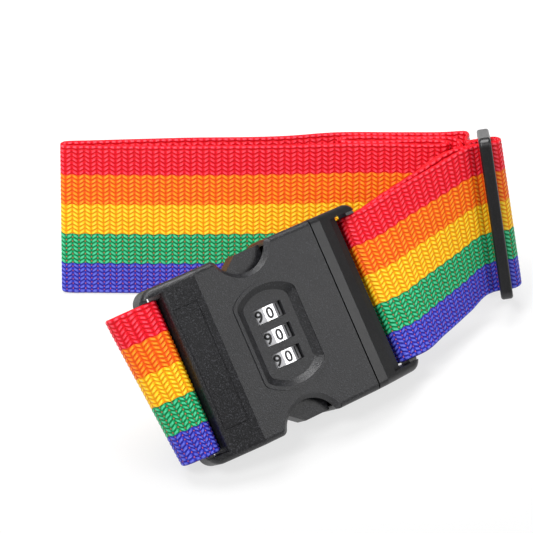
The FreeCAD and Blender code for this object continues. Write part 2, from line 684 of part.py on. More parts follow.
def ribbon(name, places):
    """A flat strip as wide and thick as the webbing along the places, of flat triangles."""
    places = eased(places)
    sections = []
    last = len(places) - 1
    for i, (middle, across) in enumerate(places):
        ahead = places[min(i + 1, last)][0] - places[max(i - 1, 0)][0]
        face = ahead.cross(across).normalize() * (THICK / 2)
        edge = across * HALF_WEB
        low, high = middle - face, middle + face
        sections.append([low - edge, low + edge, high + edge, high - edge])
    ends = (sections[0], sections[-1])
    faces = [triangle(end[i], end[i + 1], end[(i + 2) % 4]) for end in ends for i in (0, 2)]
    for here, there in zip(sections, sections[1:]):
        for k in range(4):
            a, b, c, d = here[k], here[(k + 1) % 4], there[(k + 1) % 4], there[k]
            # both broad sides are divided along the same diagonal, so that the strip keeps its thickness
            if k < 2:
                faces += [triangle(a, b, c), triangle(a, c, d)]
            else:
                faces += [triangle(a, b, d), triangle(b, c, d)]
    solid = Part.makeSolid(Part.makeShell(faces))
    if solid.Volume < 0:
        solid.reverse()
    return node(name, plain(name, solid))


def slider_places():
    """Near and far slot where the strap crosses the slider, for the sewn wrap and for the one over it."""
    bar_near = size("slider_rail") + size("slider_slot")
    bar_far = size("slider_width") - bar_near
    inner = THICK / 2 + size("web_gap")
    return (bar_near - inner, bar_far + inner), (bar_near - inner - LAYER, bar_far + inner + LAYER)


def strap_outer():
    """From the slider back to the left fold and forward again to the right hairpin."""
    (_, _), (_, far) = slider_places()
    side = size("slider_thickness") / 2
    back = [
        on_slider(far, -side + 0.5), on_slider(far, -side - 2.5), on_floor(68, -7.2, 1.6), on_floor(61, -6.9, 0.3),
        on_floor(46, -7.1), on_floor(22, -7.3), on_floor(8, -9.1), on_floor(-29, -10.4), on_floor(-46, -11.2),
        on_floor(-60, -11.9),
    ]
    front = [
        on_floor(-60, -14.6), on_floor(-29, -14.9), on_floor(11, -14.2), on_floor(30, FRONT), on_floor(40, FRONT),
    ]
    fold = turn(on_floor(-66.5, -12.2), on_floor(-66.5, -14.5), Vector(-2.4, 0, 0), 6)
    ribbon("strap_outer", back + fold + front)


def strap_inner():
    """The short inner loop: from the right hairpin to a fold inside the bundle and back to the right."""
    first, second, third = FRONT, FRONT + LAYER_Y, FRONT + 2 * LAYER_Y
    hairpin = turn(on_floor(59.5, first), on_floor(59.5, second), Vector(1.6, 0, 0), 6)
    inner_fold = turn(on_floor(26, second), on_floor(26, third), Vector(-1.6, 0, 0), 6)
    ribbon("strap_inner", [on_floor(40, first)] + hairpin + inner_fold + [on_floor(50, third)])


def lock_stack():
    """The distances behind the buckle's back at which the sewn end and the strap lie."""
    sewn = -size("web_gap") - THICK / 2
    return sewn, sewn - LAYER + 0.1


def strap_run():
    """Out of the bundle, round the right curl and down behind the buckle to its back."""
    third = FRONT + 2 * LAYER_Y
    _, run = lock_stack()
    curl = turn(on_floor(61.5, third), on_floor(61, -18.4, 0.2), Vector(4.0, 0, 0), 8)
    places = [on_floor(50, third)] + curl + [
        between(on_floor(61, -18.4, 0.3), on_buckle(90, run - 0.7), 0.45), on_buckle(88, run - 0.7),
        on_buckle(76, run - 0.4), on_buckle(62, run), on_buckle(50, run),
    ]
    ribbon("strap_run", places)


def lock_loop():
    """Behind the lock, round its bar in a slack, slightly skewed loop, and back to where the end is sewn."""
    sewn, run = lock_stack()
    over = size("split_height") + size("web_gap") + THICK / 2
    slot = size("bar_depth") + size("web_in_slot")

    def skewed(x, z, share):
        """A place on the loop, which is longer at its upper edge."""
        middle, across = on_buckle(x, z)
        return middle, (across - ALONG * (0.088 * share)).normalize()

    places = [on_buckle(50, run), on_buckle(3, run), skewed(-2, run + 0.2, 0.6)]
    places += turn(skewed(-4.1, run + 0.5, 1), skewed(-4.1, 6.2, 1), Vector() - ALONG * 3.0, 8)
    places += [skewed(-1.6, over + 0.15, 0.7), skewed(1.0, over + 0.15, 0.3), on_buckle(slot - 1.7, over),
               on_buckle(slot - 0.5, over - 0.8), on_buckle(slot, over - 2.6), on_buckle(slot, 0.9),
               on_buckle(slot + 0.02, -0.35), on_buckle(slot + 1.1, sewn - 0.03), on_buckle(40, sewn)]
    ribbon("lock_loop", places)


def adjust_loop():
    """From the slider over the tongue's bar and back to the slider's middle bar, where its end is sewn."""
    (sewn_near, sewn_far), (near, far) = slider_places()
    side = size("slider_thickness") / 2
    inner = side + 2.5 * size("web_gap") + THICK / 2
    over = size("split_height") + size("web_gap") + THICK / 2
    slot = TONGUE_END - size("bar_depth") - size("web_in_slot")
    under = size("bar_low") - size("web_gap") - THICK / 2
    front_wrap = turn(
        on_slider(far, side - 0.5), on_slider(near, side - 0.5), SLIDER_RIGHT * (inner + LAYER - side + 0.5), 7
    )
    sewn_wrap = turn(
        on_slider(sewn_near, side - 0.5), on_slider(sewn_far, side - 0.5), SLIDER_RIGHT * (inner - side + 0.5), 7
    )
    leaving, reaching = on_slider(near - 4.4, -side - 5.4), on_buckle(TONGUE_END + 2.5, over + 0.4)
    under_tongue, under_slider = on_buckle(TONGUE_END + 2.5, under + 0.2), on_slider(sewn_near - 3.4, -side - 8.5)
    places = [on_slider(far, -side + 0.5)] + front_wrap + [
        on_slider(near, -side), on_slider(near - 1.3, -side - 2.9), leaving,
        between(leaving, reaching, 0.3), between(leaving, reaching, 0.7), reaching,
        on_buckle(TONGUE_END - 0.8, over + 0.15), on_buckle(slot + 1.6, over - 0.1),
        on_buckle(slot + 0.5, over - 1.0), on_buckle(slot, over - 2.8), on_buckle(slot, under + 1.8),
        on_buckle(slot + 0.6, under + 0.3), on_buckle(slot + 2.2, under), under_tongue,
        between(under_tongue, under_slider, 0.3), between(under_tongue, under_slider, 0.7), under_slider,
        on_slider(sewn_near - 0.9, -side - 4.0), on_slider(sewn_near, -side - 0.5),
    ] + sewn_wrap + [
        on_slider(sewn_far, -side), on_slider(sewn_far - 1.2, -side - 2.2), on_slider(sewn_far - 2.9, -side - 3.9),
    ]
    ribbon("adjust_loop", places)


housing_top()
housing_bottom()
dials()
dial_shaft()
shaft_washer()
springs()
locking_slide()
detent_spring()
reset_button()
screws()
tongue_frame()
latch_arms()
length_slider()
strap_outer()
strap_inner()
strap_run()
lock_loop()
adjust_loop()
doc.recompute()

for thing in doc.Objects:
    if "Invalid" in thing.State or "Error" in thing.State:
        raise RuntimeError(f"{thing.Name}: {thing.State}")
for name, thing in nodes.items():
    shape = thing.Shape
    if shape.isNull() or not shape.isValid() or shape.Volume <= 0:
        raise RuntimeError(f"{name} has no valid shape")

os.makedirs("parts", exist_ok=True)
for name, thing in nodes.items():
    thing.Shape.exportStep(f"parts/{name}.step")
print(len(nodes), "nodes")
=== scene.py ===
"""The looks of a luggage strap: striped webbing in a standing bundle, a three-dial buckle, a length slider.

Frame: metres, +Z up, the floor at z = 0. The strap's route, the buckle's sizes and the weave's are in
millimetres, and the route repeats the part's own.
"""

import math

import bpy
import numpy as np
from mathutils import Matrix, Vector


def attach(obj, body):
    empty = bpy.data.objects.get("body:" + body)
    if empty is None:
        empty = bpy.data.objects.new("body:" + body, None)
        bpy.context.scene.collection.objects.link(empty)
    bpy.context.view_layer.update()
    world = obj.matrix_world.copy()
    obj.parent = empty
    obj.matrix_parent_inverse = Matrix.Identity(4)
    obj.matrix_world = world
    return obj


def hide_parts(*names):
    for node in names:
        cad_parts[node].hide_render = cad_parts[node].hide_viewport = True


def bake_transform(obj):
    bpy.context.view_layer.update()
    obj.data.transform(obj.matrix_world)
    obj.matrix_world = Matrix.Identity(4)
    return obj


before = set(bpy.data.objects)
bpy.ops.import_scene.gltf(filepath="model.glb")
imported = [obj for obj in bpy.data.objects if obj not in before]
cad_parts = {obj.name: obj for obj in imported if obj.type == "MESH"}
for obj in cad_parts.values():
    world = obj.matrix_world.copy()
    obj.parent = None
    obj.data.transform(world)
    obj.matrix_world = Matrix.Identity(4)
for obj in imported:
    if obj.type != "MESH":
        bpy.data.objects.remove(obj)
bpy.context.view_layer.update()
MM = 0.001


# ---------------------------------------------------------------- objects
def put(name, data):
    """A new object in the scene, at the origin."""
    made = bpy.data.objects.new(name, data)
    bpy.context.scene.collection.objects.link(made)
    return made


def plain_mesh(holder):
    """The mesh that an object's modifiers or letters come to. The object itself is removed."""
    bpy.context.view_layer.update()
    mesh = bpy.data.meshes.new_from_object(holder.evaluated_get(bpy.context.evaluated_depsgraph_get()))
    bpy.data.objects.remove(holder)
    return mesh


# ---------------------------------------------------------------- camera, light and floor
LENS, SENSOR = 135.0, 36.0
CAMERA_TARGET = Vector((-0.0079, 0.0421, 0.0))
CAMERA_DISTANCE, CAMERA_ELEVATION = 0.688, math.radians(39.0)
SKY = 0.26  # strength of the even light from all round
LIT_MIDDLE = (0.0, 0.0, 0.02)
SOFTBOXES = {  # place, width, height and power in watts
    "softbox_above": ((-0.2, 0.35, 0.95), 0.7, 0.5, 11.0),
    "softbox_left": ((-0.45, -0.45, 0.85), 0.35, 0.35, 7.0),
    "softbox_right": ((0.66, -0.25, 0.55), 0.35, 0.35, 2.0),
}
FLOOR_HALF = 3.0
FLOOR_NEAR, FLOOR_FAR = -0.12, 0.10  # along Y, where the floor's painted shade starts and ends turning paler
# the floor's tone in front, darker as painted shade, and at the back, paler as painted light, and the strength
# of its painted glow
FLOOR_PAINTED_SHADE, FLOOR_PAINTED_LIGHT, FLOOR_PAINTED_GLOW = 0.16, 0.28, 0.70


def aimed(place, target):
    """A turn that points an object's -Z from its place at the target, its top upwards."""
    return (Vector(target) - Vector(place)).to_track_quat("-Z", "Y").to_euler()


def make_camera():
    data = bpy.data.cameras.new("camera")
    data.lens, data.sensor_width = LENS, SENSOR
    camera = put("camera", data)
    away = Vector((0, -math.cos(CAMERA_ELEVATION), math.sin(CAMERA_ELEVATION)))
    camera.location = CAMERA_TARGET + CAMERA_DISTANCE * away
    camera.rotation_euler = aimed(camera.location, CAMERA_TARGET)
    bpy.context.scene.camera = camera


def softbox(name, place, width, height, power):
    data = bpy.data.lights.new(name, "AREA")
    data.shape, data.size, data.size_y, data.energy = "RECTANGLE", width, height, power
    light = put(name, data)
    light.location = place
    light.rotation_euler = aimed(place, LIT_MIDDLE)


def make_studio():
    world = bpy.data.worlds.new("studio")
    world.use_nodes = True
    background = world.node_tree.nodes["Background"]
    background.inputs["Color"].default_value = (1.0, 1.0, 1.0, 1.0)
    background.inputs["Strength"].default_value = SKY
    bpy.context.scene.world = world
    bpy.context.scene.view_settings.view_transform = "Standard"
    for name, facts in SOFTBOXES.items():
        softbox(name, *facts)


def make_floor():
    """A plain floor with a faint painted glow of its own, and painted shade: darker in front, paler towards
    the back.
    """
    half = FLOOR_HALF
    mesh = bpy.data.meshes.new("floor")
    corners = [(-half, -half, 0), (half, -half, 0), (half, half, 0), (-half, half, 0)]
    mesh.from_pydata(corners, [], [(0, 1, 2, 3)])
    floor = put("floor", mesh)
    graph = Graph("floor_white")
    y = graph.node("ShaderNodeSeparateXYZ", None, {0: graph.place()}).beside(1)
    dim, pale = [(tone, tone, tone, 1) for tone in (FLOOR_PAINTED_SHADE, FLOOR_PAINTED_LIGHT)]
    # painted shade: darker in front, paler towards the back
    white = graph.mix(y.between(FLOOR_NEAR, FLOOR_FAR), dim, pale)
    graph.finish(base=white, roughness=0.7, specular=0.1, glow=FLOOR_PAINTED_GLOW)
    mesh.materials.append(graph.material)


# ---------------------------------------------------------------- shader graphs
class Value:
    """A shader socket that adds Math nodes when it is reckoned with."""

    def __init__(self, graph, socket):
        self.graph, self.socket = graph, socket

    def reckon(self, operation, *terms):
        return self.graph.node("ShaderNodeMath", {"operation": operation}, dict(enumerate(terms)))

    def __add__(self, other):
        return self.reckon("ADD", self, other)

    def __radd__(self, other):
        return self.reckon("ADD", other, self)

    def __sub__(self, other):
        return self.reckon("SUBTRACT", self, other)

    def __rsub__(self, other):
        return self.reckon("SUBTRACT", other, self)

    def __mul__(self, other):
        return self.reckon("MULTIPLY", self, other)

    def __rmul__(self, other):
        return self.reckon("MULTIPLY", other, self)

    def __lt__(self, other):
        return self.reckon("LESS_THAN", self, other)

    def __abs__(self):
        return self.reckon("ABSOLUTE", self)

    def fraction(self):
        return self.reckon("FRACT", self)

    def sine(self):
        return self.reckon("SINE", self)

    def between(self, low, high):
        """0 below low and 1 above high, smooth from one to the other."""
        return self.graph.node("ShaderNodeMapRange", {"interpolation_type": "SMOOTHSTEP"}, {
            "Value": self, "From Min": low, "From Max": high})

    def beside(self, output):
        """Another output of this socket's node."""
        return Value(self.graph, self.socket.node.outputs[output])


class Graph:
    """One material's nodes."""

    def __init__(self, name):
        self.material = bpy.data.materials.new(name)
        self.material.use_nodes = True
        self.tree = self.material.node_tree
        self.tree.nodes.clear()

    def node(self, kind, settings=None, sockets=None, output=0):
        """Adds a node: first its settings, a ramp's stops among them, then its sockets' values or links."""
        made = self.tree.nodes.new(kind)
        for name, value in (settings or {}).items():
            if name == "stops":
                ramp = made.color_ramp.elements
                while len(ramp) < len(value):
                    ramp.new(0.5)
                for element, (place, colour) in zip(ramp, value):
                    element.position, element.color = place, colour
            elif name == "spread":
                made.color_ramp.interpolation = value
            else:
                setattr(made, name, value)
        for name, value in (sockets or {}).items():
            self.join(value, made.inputs[name])
        return Value(self, made.outputs[output])

    def join(self, value, socket):
        if isinstance(value, Value):
            self.tree.links.new(value.socket, socket)
        elif value is not None:
            socket.default_value = value

    def place(self):
        """Object coordinates, in metres."""
        return self.node("ShaderNodeTexCoord", output="Object")

    def mix(self, share, one, other):
        return self.node("ShaderNodeMix", {"data_type": "RGBA"}, {0: share, 6: one, 7: other}, output=2)

    def noise(self, scale, detail=2.0, place=None, roughness=0.5):
        return self.node("ShaderNodeTexNoise", None, {
            "Vector": place or self.place(), "Scale": scale, "Detail": detail, "Roughness": roughness})

    def bump(self, height, strength, distance):
        return self.node("ShaderNodeBump", None, {
            "Strength": strength, "Distance": distance, "Height": height})

    def finish(self, base, roughness, metallic=0.0, normal=None, specular=0.5, sheen=0.0, glow=0.0):
        shader = self.tree.nodes.new("ShaderNodeBsdfPrincipled")
        sockets = {
            "Base Color": base, "Roughness": roughness, "Metallic": metallic, "Normal": normal,
            "Specular IOR Level": specular, "Sheen Weight": sheen,
            "Emission Color": (1.0, 1.0, 1.0, 1.0), "Emission Strength": glow,
        }
        for name, value in sockets.items():
            self.join(value, shader.inputs[name])
        end = self.tree.nodes.new("ShaderNodeOutputMaterial")
        self.tree.links.new(shader.outputs[0], end.inputs["Surface"])
        return self.material


# ---------------------------------------------------------------- the webbing's sizes and colours
WIDTH, THICK, GAP = 50.0, 1.5, 0.2  # gap: between layers that lie on each other
ROWS = 35  # ribs from edge to edge
ROW = WIDTH / ROWS
FLOAT = 2.1  # length of one slanted stitch of the weave
ZIGZAG = 0.58  # half the sideways travel of the slant
STEP = FLOAT / 4
RELIEF = 0.30  # how far a stitch stands out of its grooves
MAP_LENGTH = 100.0  # length of strap to one unit of the weave's map; across it, one unit is the width
STRAIGHTENING = 0.7  # share of the slant that the stripes' borders don't follow
FLECKED = 0.4  # share of the width, from the lower edge, where the weft shows


def paint(red, green, blue):
    """A colour given in display tones from 0 to 255, as the shaders take it."""
    return tuple((tone / 255) ** 2.2 for tone in (red, green, blue)) + (1,)


# From the lower edge up: blue, green, yellow, orange, red.
STITCHES = [
    paint(62, 66, 190), paint(24, 166, 108), paint(252, 196, 8), paint(250, 118, 0), paint(244, 22, 48),
]
# Painted highlights: lighter tones of the stripes, for the stitches' crests.
CREST_HIGHLIGHTS = [
    paint(120, 130, 232), paint(104, 224, 172), paint(255, 232, 84), paint(255, 176, 60), paint(255, 100, 116),
]
# Painted shade: darker tones of the stripes, for the grooves and the stitches' ends.
GAP_SHADES = [
    paint(32, 34, 140), paint(0, 108, 58), paint(226, 138, 0), paint(226, 76, 0), paint(206, 0, 24),
]
WEFT = paint(214, 98, 84)


# ---------------------------------------------------------------- materials
def striped_webbing():
    """Five stripes of warp, each painted lighter on the stitches' crests as a painted highlight and darker in
    the grooves and at the stitches' ends as painted shade; the weft shows as flecks where the slanted stitches
    turn.
    """
    graph = Graph("striped_webbing")
    uv = graph.node("ShaderNodeUVMap", {"uv_map": "weave"})
    along = graph.node("ShaderNodeSeparateXYZ", None, {0: uv})
    across = along.beside(1)
    slant = abs((along * (MAP_LENGTH / 2 / FLOAT)).fraction() * 2 - 1) * 2 - 1
    straight = across + slant * (ZIGZAG / WIDTH * STRAIGHTENING)
    warp, gap_shade, bright = [
        graph.node("ShaderNodeValToRGB", {
            "spread": "CONSTANT", "stops": [(i / len(tones), tone) for i, tone in enumerate(tones)],
        }, {0: straight})
        for tones in (STITCHES, GAP_SHADES, CREST_HIGHLIGHTS)
    ]
    row = (across * float(ROWS)).fraction()  # 0 and 1 in the grooves, 0.5 on the ribs' crests
    turn = (along * (MAP_LENGTH / FLOAT)).fraction()  # 0 and 1 where the slant turns
    groove = 1 - abs(row * 2 - 1)
    end = 1 - abs(turn * 2 - 1)
    # fine random noise: it varies the painted highlight and shade, the roughness and the relief
    wear_and_painted_light = graph.noise(260.0, 3.0, uv)
    broad = graph.noise(9.0, 2.0, uv)
    bead = groove.between(0.0, 0.72) * end.between(-0.12, 0.62)
    strands = ((row * (3 * 2 * math.pi) + turn * 2.0).sine() * 0.5 + 0.5) * groove
    # Painted light and shade: high on the stitches' crests, where the painted highlight goes, low in the
    # grooves and at the ends, where the painted shade goes.
    light = bead * 0.92 + (wear_and_painted_light - 0.5) * 0.35 + strands * 0.08
    shaded_yarn = graph.mix(light.between(0.75, 1.12), graph.mix(light.between(0.05, 0.7), gap_shade, warp), bright)
    # A broad random tone over the yarn with its painted shade and highlights.
    worn = graph.node("ShaderNodeVectorMath", {"operation": "SCALE"}, {
        0: shaded_yarn, "Scale": 1.0 + (broad - 0.5) * 0.14})
    fleck = (1 - end.between(0.02, 0.26)) * (1 - groove.between(0.05, 0.5)) * (straight < FLECKED)
    colour = graph.mix(fleck * 0.85, worn, WEFT)
    height = bead * 0.9 + strands * 0.22 + wear_and_painted_light * 0.12
    normal = graph.bump(height, 0.9, 0.2 * MM)
    return graph.finish(colour, 0.56 - bead * 0.2 + (wear_and_painted_light - 0.5) * 0.2, normal=normal, specular=0.2)


def moulded(name, base, light, grain, roughness, depth):
    """Spark-finished plastic: a fine even grain in relief, its specks painted lighter as painted glints where
    it catches the light, and faint flow marks.
    """
    graph = Graph(name)
    fine = graph.noise(grain, 2.0, roughness=0.65)
    broad = graph.noise(45.0, 3.0)
    # the grain's specks take the lighter tone, a painted glint; the broad noise gives faint flow marks
    glint_specks = fine.between(0.5, 0.72)
    colour = graph.mix(glint_specks * 0.8 + (broad - 0.5) * 0.2, base, light)
    gloss = roughness + (fine - 0.5) * 0.22 + (broad - 0.5) * 0.10
    return graph.finish(colour, gloss, normal=graph.bump(fine, depth, 0.1 * MM))


def metal(name, base, dark, roughness):
    """Drawn metal: fine lines across x and a broad, faint tarnish."""
    graph = Graph(name)
    drawn = graph.node("ShaderNodeMapping", None, {"Vector": graph.place(), "Scale": (1.0, 6.0, 6.0)})
    fine, broad = graph.noise(900.0, 3.0, drawn), graph.noise(120.0, 2.0)
    colour = graph.mix(broad.between(0.35, 0.75) * 0.5, base, dark)
    normal = graph.bump(fine, 0.25, 0.05 * MM)
    return graph.finish(colour, roughness + (fine - 0.5) * 0.25, metallic=1.0, normal=normal)


def dial_silver():
    """Satin silver plating on the dials' facets, a little worn."""
    graph = Graph("dial_silver")
    fine, broad = graph.noise(2600.0, 2.0), graph.noise(220.0, 2.0)
    colour = graph.mix(broad.between(0.3, 0.8) * 0.4, (0.80, 0.80, 0.82, 1), (0.62, 0.62, 0.65, 1))
    normal = graph.bump(fine, 0.15, 0.05 * MM)
    return graph.finish(colour, 0.34 + (fine - 0.5) * 0.2, metallic=0.72, normal=normal)


def digit_ink():
    """Black print, a little uneven."""
    graph = Graph("digit_ink")
    fine = graph.noise(3000.0, 2.0)
    colour = graph.mix(fine.between(0.4, 0.8) * 0.4, (0.006, 0.006, 0.007, 1), (0.03, 0.03, 0.032, 1))
    return graph.finish(colour, 0.45 + (fine - 0.5) * 0.2, normal=graph.bump(fine, 0.2, 0.04 * MM))


def seam_thread():
    """Black bonded thread with a fine twist."""
    graph = Graph("seam_thread")
    twist = graph.node("ShaderNodeTexWave", {"wave_type": "BANDS", "bands_direction": "DIAGONAL"}, {
        "Vector": graph.place(), "Scale": 900.0, "Distortion": 0.6}, output=1)
    colour = graph.mix(twist, (0.008, 0.008, 0.009, 1), (0.035, 0.034, 0.037, 1))
    return graph.finish(colour, 0.62 - twist * 0.15, normal=graph.bump(twist, 0.5, 0.06 * MM), sheen=0.2)


def make_materials():
    # each plastic's base tone, and the lighter tone of the painted glints on its grain's specks
    black, speck_glint = (0.004, 0.004, 0.005, 1), (0.045, 0.046, 0.053, 1)
    dim, grey_glint = (0.006, 0.006, 0.0065, 1), (0.018, 0.018, 0.020, 1)
    return {
        "striped_webbing": striped_webbing(),
        "moulded_black": moulded("moulded_black", black, speck_glint, 2300.0, 0.40, 1.0),
        "collar_black": moulded("collar_black", dim, grey_glint, 2500.0, 0.36, 0.2),
        "slider_black": moulded("slider_black", dim, grey_glint, 2600.0, 0.34, 0.2),
        "inner_plastic": moulded("inner_plastic", dim, grey_glint, 2500.0, 0.45, 0.4),
        "dial_silver": dial_silver(),
        "sleeve_brass": metal("sleeve_brass", (0.70, 0.47, 0.18, 1), (0.45, 0.29, 0.11, 1), 0.32),
        "bright_steel": metal("bright_steel", (0.62, 0.62, 0.61, 1), (0.42, 0.42, 0.43, 1), 0.27),
        "spring_steel": metal("spring_steel", (0.46, 0.45, 0.43, 1), (0.30, 0.29, 0.28, 1), 0.38),
        "digit_ink": digit_ink(),
        "seam_thread": seam_thread(),
    }


# ---------------------------------------------------------------- where the buckle and the slider lie
YAW, SLOPE, LEAN = math.radians(35.0), math.radians(46.0), math.radians(32.0)
ALONG = Vector((math.cos(YAW), math.sin(YAW), 0))
ACROSS = Vector((-math.sin(YAW) * math.cos(SLOPE), math.cos(YAW) * math.cos(SLOPE), math.sin(SLOPE)))
OUT = ALONG.cross(ACROSS)
BUCKLE_WIDTH, BUCKLE_HEIGHT = 57.5, 15.0
BUCKLE_ORIGIN = Vector((-39.2, -41.8, 0.8 + BUCKLE_WIDTH / 2 * ACROSS.z))
SPLIT = 7.0  # height at which the lock's two shells meet, and of the bars' tops
BAR, BAR_LOW = 3.0, 1.5  # depth of the bars that the webbing goes round, and the tongue's bar's underside
IN_SLOT = 2.4  # how far past a bar the webbing's middle goes through the slot
TONGUE_END = 81.0  # the buckle's whole length

STAND = Vector((0, math.sin(LEAN), math.cos(LEAN)))  # the bundle's width
BUNDLE_X, BUNDLE_Y = -7.9, 42.1
LAYER = THICK + GAP
LAYER_Y = LAYER / math.cos(LEAN)

SLIDER_WIDTH, SLIDER_THICK, RAIL, RAIL_SLOT = 22.0, 4.0, 3.6, 5.1
SLIDER_HALF = 27.35  # half its length
SLIDER_UP = Vector((-0.165, 0.43, 0.882)).normalized()
BACKWARDS = Vector((0.069, 0.902, -0.425))
SLIDER_BACK = (BACKWARDS - SLIDER_UP * SLIDER_UP.dot(BACKWARDS)).normalized()
SLIDER_RIGHT = SLIDER_BACK.cross(SLIDER_UP)
SLIDER_ORIGIN = Vector((71.6, 11.9, 9.8)) + SLIDER_UP * SLIDER_HALF


def buckle_point(x, y, z):
    """A point of the buckle's own frame, in metres."""
    return (BUCKLE_ORIGIN + ALONG * x + ACROSS * y + OUT * z) * MM


# ---------------------------------------------------------------- the strap's route, millimetres
FIRST = -13.4  # the bundle's front layer, then the two behind it
SECOND, THIRD = FIRST + LAYER_Y, FIRST + 2 * LAYER_Y
SEWN = -GAP - THICK / 2  # the layer next to the lock's underside, and the run below it
RUN = SEWN - LAYER + 0.1
OVER = SPLIT + GAP + THICK / 2  # over the lock's bar and the tongue's
SIDE = SLIDER_THICK / 2
LOOP_SKEW = 0.088  # how far the lock's slack loop hangs askew


def on_floor(x, y, lift=0.0):
    """A place on the strap that stands on the floor at x, y: its middle and its width's direction."""
    foot = Vector((x + BUNDLE_X, y + BUNDLE_Y, lift + THICK / 2 * math.sin(LEAN)))
    return foot + STAND * (WIDTH / 2), STAND


def on_buckle(x, z):
    return BUCKLE_ORIGIN + ALONG * x + OUT * z, ACROSS


def on_slider(back, right):
    return SLIDER_ORIGIN + SLIDER_BACK * back + SLIDER_RIGHT * right, SLIDER_UP


def between(one, other, share):
    return one[0].lerp(other[0], share), one[1].lerp(other[1], share).normalized()


def turn(one, other, bulge, steps=7):
    """A round fold from one place to the other, half an ellipse that reaches out by the bulge."""
    places = []
    for step in range(steps + 1):
        angle = math.pi * step / steps
        middle, across = between(one, other, (1 - math.cos(angle)) / 2)
        places.append((middle + bulge * math.sin(angle), across))
    return places


def slider_places():
    """Near and far slot, as distances back along the slider: for the inner layer, then for the outer one."""
    near, far = RAIL + RAIL_SLOT, SLIDER_WIDTH - RAIL - RAIL_SLOT
    inner = THICK / 2 + GAP
    return (near - inner, far + inner), (near - inner - LAYER, far + inner + LAYER)


def bundle_route():
    """From the slider back to the left fold, forward to the hairpin, and round the short inner loop."""
    _, (_, far) = slider_places()
    places = [
        on_slider(far, -SIDE + 0.5), on_slider(far, -SIDE - 2.5), on_floor(67, -7.2, 0.6), on_floor(61, -6.9),
        on_floor(46, -7.1), on_floor(22, -7.3), on_floor(8, -9.1), on_floor(-29, -10.4), on_floor(-46, -11.2),
        on_floor(-60, -11.9),
    ]
    places += turn(on_floor(-66.5, -12.2), on_floor(-66.5, -14.5), Vector((-2.4, 0, 0)), 6)
    places += [
        on_floor(-60, -14.6), on_floor(-29, -14.9), on_floor(11, -14.2), on_floor(30, FIRST),
        on_floor(40, FIRST),
    ]
    places += turn(on_floor(59.5, FIRST), on_floor(59.5, SECOND), Vector((1.6, 0, 0)), 6)
    places += turn(on_floor(26, SECOND), on_floor(26, THIRD), Vector((-1.6, 0, 0)), 6)
    return places + [on_floor(50, THIRD)]


def run_route():
    """Out of the bundle, round the right curl and down behind the buckle."""
    places = turn(on_floor(61.5, THIRD), on_floor(61, -18.4, 0.2), Vector((4.0, 0, 0)), 8)
    return places + [
        between(on_floor(61, -18.4, 0.3), on_buckle(90, RUN - 0.7), 0.45), on_buckle(88, RUN - 0.7),
        on_buckle(76, RUN - 0.4), on_buckle(62, RUN), on_buckle(50, RUN),
    ]


def lock_route():
    """Behind the lock, round its bar in a slack, slightly skewed loop and back to where it is sewn."""
    slot = BAR + IN_SLOT

    def skewed(x, z, share):
        middle, across = on_buckle(x, z)
        return middle, (across - ALONG * (LOOP_SKEW * share)).normalized()

    places = [on_buckle(3, RUN), skewed(-2, RUN + 0.2, 0.6)]
    places += turn(skewed(-4.1, RUN + 0.5, 1), skewed(-4.1, 6.2, 1), ALONG * -3.0, 8)
    return places + [
        skewed(-1.6, OVER + 0.15, 0.7), skewed(1.0, OVER + 0.15, 0.3), on_buckle(slot - 1.7, OVER),
        on_buckle(slot - 0.5, OVER - 0.8), on_buckle(slot, OVER - 2.6), on_buckle(slot, 0.9),
        on_buckle(slot + 0.02, -0.35), on_buckle(slot + 1.1, SEWN - 0.03), on_buckle(40, SEWN),
    ]


def adjusting_route():
    """From its sewn end round the slider's middle bar, over the tongue's bar and back into the slider."""
    (sewn_near, sewn_far), (near, far) = slider_places()
    inner = SIDE + 2.5 * GAP + THICK / 2
    slot = TONGUE_END - BAR - IN_SLOT
    under = BAR_LOW - GAP - THICK / 2
    leaving, reaching = on_slider(near - 2.2, -SIDE - 3.6), on_buckle(TONGUE_END + 2.5, OVER + 0.4)
    under_tongue = on_buckle(TONGUE_END + 2.5, under + 0.2)
    under_slider = on_slider(sewn_near - 3.4, -SIDE - 8.5)
    top = SIDE - 0.5  # where a fold round the slider's middle bar starts and ends
    front = turn(on_slider(far, top), on_slider(near, top), SLIDER_RIGHT * (inner + LAYER - SIDE + 0.5))
    sewn = turn(on_slider(sewn_near, top), on_slider(sewn_far, top), SLIDER_RIGHT * (inner - SIDE + 0.5))
    places = [on_slider(far, -SIDE + 0.5)] + front + [
        on_slider(near, -SIDE), on_slider(near - 0.5, -SIDE - 1.6), leaving,
        between(leaving, reaching, 0.3), between(leaving, reaching, 0.7), reaching,
        on_buckle(TONGUE_END - 0.8, OVER + 0.15), on_buckle(slot + 1.6, OVER - 0.1),
        on_buckle(slot + 0.5, OVER - 1.0), on_buckle(slot, OVER - 2.8), on_buckle(slot, under + 1.8),
        on_buckle(slot + 0.6, under + 0.3), on_buckle(slot + 2.2, under), under_tongue,
        between(under_tongue, under_slider, 0.3), between(under_tongue, under_slider, 0.7), under_slider,
        on_slider(sewn_near - 0.9, -SIDE - 4.0), on_slider(sewn_near, -SIDE - 0.5),
    ] + sewn + [
        on_slider(sewn_far, -SIDE), on_slider(sewn_far - 1.2, -SIDE - 2.2),
        on_slider(sewn_far - 2.9, -SIDE - 3.9),
    ]
    return places[::-1]


